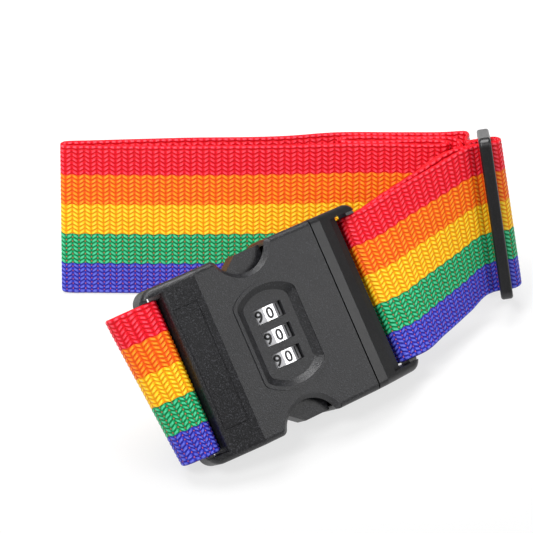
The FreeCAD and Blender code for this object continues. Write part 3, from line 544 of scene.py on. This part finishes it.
class Route:
    """A smooth line through places, read by its length."""

    REACH = 0.15  # its direction at a length comes from this far before and after it

    def __init__(self, places, fine=24):
        points = np.array([tuple(middle) + tuple(across) for middle, across in places])
        gaps = np.maximum(np.linalg.norm(np.diff(points[:, :3], axis=0), axis=1), 1e-6)
        slopes = np.diff(points, axis=0) / gaps[:, None]
        weighed = slopes[:-1] * gaps[1:, None] + slopes[1:] * gaps[:-1, None]
        slopes = np.vstack([slopes[:1], weighed / (gaps[1:] + gaps[:-1])[:, None], slopes[-1:]])
        parts, self.knots = [points[:1]], [0]
        for i, gap in enumerate(gaps):
            t = np.linspace(0, 1, fine + 1)[1:, None]
            parts.append(
                points[i] * (2 * t**3 - 3 * t**2 + 1) + slopes[i] * gap * (t**3 - 2 * t**2 + t)
                + points[i + 1] * (3 * t**2 - 2 * t**3) + slopes[i + 1] * gap * (t**3 - t**2)
            )
            self.knots.append(self.knots[-1] + fine)
        self.points = np.vstack(parts)
        steps = np.linalg.norm(np.diff(self.points[:, :3], axis=0), axis=1)
        self.lengths = np.concatenate([[0], np.cumsum(steps)])

    def at_place(self, index):
        return self.lengths[self.knots[index]]

    def read(self, lengths):
        """Middles, width directions and face directions at those lengths."""
        values = np.stack([np.interp(lengths, self.lengths, self.points[:, k]) for k in range(6)], axis=1)
        ahead = np.stack([
            np.interp(lengths + self.REACH, self.lengths, self.points[:, k])
            - np.interp(lengths - self.REACH, self.lengths, self.points[:, k]) for k in range(3)], axis=1)
        wide = values[:, 3:] / np.linalg.norm(values[:, 3:], axis=1)[:, None]
        face = np.cross(ahead, wide)
        return values[:, :3], wide, face / np.linalg.norm(face, axis=1)[:, None]


# ---------------------------------------------------------------- webbing
EDGE_CALM = 3.5  # the slant fades out over this distance from an edge
EDGE_ROUND = 0.7  # the edges are rounded over this one
END_ROOM = 0.1  # the least length of the first and last row


def weave_columns():
    """The strip's columns from edge to edge: place across, and 1 on a rib's crest or 0 in a groove."""
    half = WIDTH / 2
    edge = [(-half, 0.0), (-half + 0.16, 0.2), (-half + 0.5, 0.5), (-half + ROW * 0.75, 0.8)]
    inner = []
    for k in range(1, ROWS - 1):
        inner += [(-half + ROW * k, 0.0), (-half + ROW * (k + 0.5), 1.0)]
    inner.append((-half + ROW * (ROWS - 1), 0.0))
    return edge + inner + [(-v, crest) for v, crest in reversed(edge)]


def zigzag(lengths):
    """The weave's slant as a share from -1 to 1: it turns at every stitch's end."""
    phase = lengths / (2 * FLOAT) % 1.0
    return np.abs(phase * 2 - 1) * 2 - 1


def woven_rings(route, lengths, columns):
    """A ring of points round the strip at each length, with the ribs and slanted stitches in relief."""
    middle, wide, face = route.read(lengths)
    v, crest = columns[:, 0], columns[:, 1]
    calm = np.clip((WIDTH / 2 - np.abs(v)) / EDGE_CALM, 0, 1)
    calm = calm * calm * (3 - 2 * calm)
    shifted = v[None, :] + ZIGZAG * zigzag(lengths)[:, None] * calm[None, :]
    swell = 0.2 + 0.8 * np.abs(np.sin(np.pi * lengths / FLOAT))
    rounded = np.sqrt(1 - np.clip((np.abs(v) - (WIDTH / 2 - EDGE_ROUND)) / EDGE_ROUND, 0, 1) ** 2)
    half = (THICK / 2 - RELIEF) * rounded[None, :] + RELIEF * crest[None, :] * swell[:, None]
    flat = middle[:, None, :] + wide[:, None, :] * shifted[:, :, None]
    lift = face[:, None, :] * half[:, :, None]
    return np.concatenate([flat + lift, (flat - lift)[:, len(v) - 2:0:-1]], axis=1)


def strip_faces(vertices, rings, around, count):
    """Faces from ring to ring and across both ends, pointing outwards; count is the columns of one side."""
    k, j = np.meshgrid(np.arange(rings - 1), np.arange(around), indexing="ij")
    after = (j + 1) % around
    quads = np.stack([
        k * around + j, k * around + after, (k + 1) * around + after, (k + 1) * around + j], axis=-1)
    quads = quads.reshape(-1, 4)
    top = np.arange(count)
    low = np.concatenate([[0], np.arange(around - 1, count - 1, -1), [count - 1]])
    cap = np.stack([top[:-1], low[:-1], low[1:], top[1:]], axis=1)
    caps = cap.tolist() + (cap + (rings - 1) * around)[:, ::-1].tolist()
    faces = quads.tolist() + [list(dict.fromkeys(row)) for row in caps]
    a, b, c, d = [vertices[quads[:, i]] for i in range(4)]
    volume = np.einsum("ij,ij->i", a, np.cross(b, c) + np.cross(c, d)).sum()
    return [row[::-1] for row in faces] if volume < 0 else faces


def webbing(name, route, start, end, nodes, material):
    """A woven strip from one length of the route to another, which stands for those nodes."""
    first, last = math.ceil((start + END_ROOM) / STEP), math.floor((end - END_ROOM) / STEP)
    lengths = np.concatenate([[start], np.arange(first, last + 1) * STEP, [end]])
    columns = np.array(weave_columns())
    count = len(columns)
    rings = woven_rings(route, lengths, columns)
    around = rings.shape[1]
    vertices = rings.reshape(-1, 3) * MM
    mesh = bpy.data.meshes.new(name)
    mesh.from_pydata(vertices.tolist(), [], strip_faces(vertices, len(lengths), around, count))
    across = np.concatenate([columns[:, 0], columns[count - 2:0:-1, 0]])
    uv = np.stack([
        np.repeat(lengths / MAP_LENGTH, around), np.tile(across / WIDTH + 0.5, len(lengths))], axis=1)
    corners = np.empty(len(mesh.loops), np.int32)
    mesh.loops.foreach_get("vertex_index", corners)
    layer = mesh.uv_layers.new(name="weave")
    layer.data.foreach_set("uv", uv[corners].astype(np.float32).ravel())
    mesh.polygons.foreach_set("use_smooth", [True] * len(mesh.polygons))
    mesh.materials.append(material)
    piece = put(name, mesh)
    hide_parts(*nodes)
    return piece


def make_webbing(materials):
    parts = [adjusting_route(), bundle_route()[1:], run_route(), lock_route()]
    route = Route([place for part in parts for place in part])
    ends = np.cumsum([len(part) for part in parts]) - 1
    cuts = [0.0] + [float(route.at_place(i)) for i in ends]
    material = materials["striped_webbing"]
    adjusting = webbing("webbing_adjusting", route, cuts[0], cuts[1], ["adjust_loop"], material)
    bundle = webbing("webbing_bundle", route, cuts[1], cuts[2], ["strap_outer", "strap_inner"], material)
    run = webbing("webbing_run", route, cuts[2], cuts[3], ["strap_run"], material)
    loop = webbing("webbing_lock", route, cuts[3], cuts[4], ["lock_loop"], material)
    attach(adjusting, "strap")
    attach(bundle, "strap")
    on_buckle(52, RUN)[0] * MM
    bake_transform(run)
    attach(loop, "lock")


# ---------------------------------------------------------------- seams
SEAM_SIZES = {"Stitch Step": 2.6, "Stitch Length": 2.1, "Thread Radius": 0.24}
SEAM_PROUD = 0.02  # how far the thread's middle stands off the webbing
LOCK_SEAM_FROM, LOCK_SEAM_TO, LOCK_SEAM_SIDE = 21.0, 37.0, 21.0  # a crossed box behind the lock
SLIDER_SEAM_SHARES, SLIDER_SEAM_SIDE = (0.15, 0.7), 22.0  # two rows on the sewn end


def seam_tree(material):
    """Stitches along a line: one rounded stitch for each step, lying along the line."""
    tree = bpy.data.node_groups.new("seam", "GeometryNodeTree")
    face = tree.interface
    face.new_socket("Geometry", in_out="INPUT", socket_type="NodeSocketGeometry")
    names = {
        label: face.new_socket(label, in_out="INPUT", socket_type="NodeSocketFloat").identifier
        for label in SEAM_SIZES
    }
    face.new_socket("Geometry", in_out="OUTPUT", socket_type="NodeSocketGeometry")

    def node(kind, settings=None, sockets=None):
        """Adds a node as Graph.node does, and gives its first output."""
        made = tree.nodes.new(kind)
        for name, value in (settings or {}).items():
            setattr(made, name, value)
        for name, value in (sockets or {}).items():
            if isinstance(value, bpy.types.NodeSocket):
                tree.links.new(value, made.inputs[name])
            else:
                made.inputs[name].default_value = value
        return made.outputs[0] if made.outputs else made

    given = tree.nodes.new("NodeGroupInput").outputs
    radius = given["Thread Radius"]
    line = node("GeometryNodeMeshToCurve", None, {"Mesh": given["Geometry"]})
    even = node("GeometryNodeResampleCurve", {"mode": "LENGTH"}, {
        "Curve": line, "Length": given["Stitch Step"]})
    half = node("ShaderNodeMath", {"operation": "MULTIPLY"}, {0: given["Stitch Length"], 1: 0.5})
    squeeze = node("ShaderNodeCombineXYZ", None, {"X": radius, "Y": radius, "Z": half})
    ball = node("GeometryNodeMeshUVSphere", None, {"Segments": 8, "Rings": 6})
    stitch = node("GeometryNodeTransform", None, {"Geometry": ball, "Scale": squeeze})
    tangent = node("GeometryNodeInputTangent")
    aim = node("FunctionNodeAlignRotationToVector", {"axis": "Z"}, {"Vector": tangent})
    placed = node("GeometryNodeInstanceOnPoints", None, {"Points": even, "Instance": stitch, "Rotation": aim})
    real = node("GeometryNodeRealizeInstances", None, {0: placed})
    smooth = node("GeometryNodeSetShadeSmooth", None, {0: real})
    dressed = node("GeometryNodeSetMaterial", None, {"Geometry": smooth, "Material": material})
    node("NodeGroupOutput", None, {"Geometry": dressed})
    return tree, names


def seam(name, group, lines, body):
    """Sews along the lines, each a list of points in metres, and lets the stitches ride on a body."""
    tree, names = group
    points, edges = [], []
    for line in lines:
        first = len(points)
        points += [tuple(point) for point in line]
        edges += [(i, i + 1) for i in range(first, len(points) - 1)]
    guide = bpy.data.meshes.new(name + "_line")
    guide.from_pydata(points, edges, [])
    holder = put(name + "_line", guide)
    modifier = holder.modifiers.new("seam", "NODES")
    modifier.node_group = tree
    for label, size in SEAM_SIZES.items():
        modifier[names[label]] = size * MM
    stitches = plain_mesh(holder)
    stitches.name = name
    piece = put(name, stitches)
    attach(piece, body)


def make_seams(materials):
    group = seam_tree(materials["seam_thread"])
    behind = RUN - THICK / 2 - SEAM_PROUD
    low, high, side = LOCK_SEAM_FROM, LOCK_SEAM_TO, LOCK_SEAM_SIDE
    corners = [(low, -side), (high, -side), (high, side), (low, side), (low, -side), (high, side)]
    box = [buckle_point(x, y, behind) for x, y in corners]
    other = [buckle_point(x, y, behind) for x, y in ((low, side), (high, -side))]
    seam("lock_seam", group, [box, other], "lock")
    (_, far), _ = slider_places()
    off = Vector(SLIDER_BACK - SLIDER_RIGHT).normalized() * (THICK / 2 + SEAM_PROUD)
    rows = []
    for share in SLIDER_SEAM_SHARES:
        middle, wide = between(on_slider(far - 1.2, -SIDE - 2.2), on_slider(far - 2.9, -SIDE - 3.9), share)
        rows.append([(middle + off + wide * y) * MM for y in (-SLIDER_SEAM_SIDE, SLIDER_SEAM_SIDE)])
    seam("slider_seam", group, rows, "strap")


# ---------------------------------------------------------------- dials
DIAL_AT, DIAL_AXIS, DIAL_RADIUS, DIAL_PITCH, FACETS = 36.0, BUCKLE_HEIGHT - 6.9, 6.1, 7.25, 10
DIGIT_HEIGHT, DIGIT_WIDTH, DIGIT_PROUD = 3.8, 2.5, 0.035


def digit_mesh(digit):
    """One printed digit, centred on the origin, flat in x and y, as vertices and faces."""
    text = bpy.data.curves.new("digit", "FONT")
    text.body, text.size, text.resolution_u = str(digit), 1.0, 3
    text.extrude, text.offset = 0.02, 0.022  # its thickness, and how much bolder its strokes are
    mesh = plain_mesh(put("digit", text))
    points = np.array([vertex.co for vertex in mesh.vertices])
    low, high = points.min(0), points.max(0)
    points -= (low + high) / 2
    scale = DIGIT_HEIGHT / (high[1] - low[1])
    points[:, 1] *= scale
    points[:, 0] *= min(scale, DIGIT_WIDTH / (high[0] - low[0]))
    faces = [list(face.vertices) for face in mesh.polygons]
    bpy.data.meshes.remove(mesh)
    return points, faces


def make_digits(materials):
    """The numbers round each dial, one to a facet, 0 outwards at rest."""
    flat = DIAL_RADIUS * math.cos(math.pi / FACETS) + DIGIT_PROUD
    shapes = [digit_mesh(digit) for digit in range(FACETS)]
    for number, place in enumerate((1, 0, -1), start=1):
        vertices, faces = [], []
        for digit, (points, rows) in enumerate(shapes):
            angle = 2 * math.pi * digit / FACETS
            first = len(vertices)
            for x, y, z in points:
                depth = flat + z
                vertices.append(buckle_point(
                    DIAL_AT + math.sin(angle) * depth + math.cos(angle) * x, place * DIAL_PITCH + y,
                    DIAL_AXIS + math.cos(angle) * depth - math.sin(angle) * x))
            faces += [[first + i for i in row] for row in rows]
        mesh = bpy.data.meshes.new(f"dial_{number}_digits")
        mesh.from_pydata([tuple(vertex) for vertex in vertices], [], faces)
        mesh.materials.append(materials["digit_ink"])
        piece = put(mesh.name, mesh)
        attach(piece, f"dial_{number}")


# ---------------------------------------------------------------- carried-over nodes
def dress_nodes(materials):
    """Every carried-over node takes the material of its slot's name, and the tongue the collar's."""
    for name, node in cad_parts.items():
        slot = node.data.materials[0].name.split(".")[0]
        node.data.materials.clear()
        node.data.materials.append(materials["collar_black" if name == "tongue_frame" else slot])


make_camera()
make_studio()
make_floor()
MATERIALS = make_materials()
dress_nodes(MATERIALS)
make_webbing(MATERIALS)
make_seams(MATERIALS)
make_digits(MATERIALS)
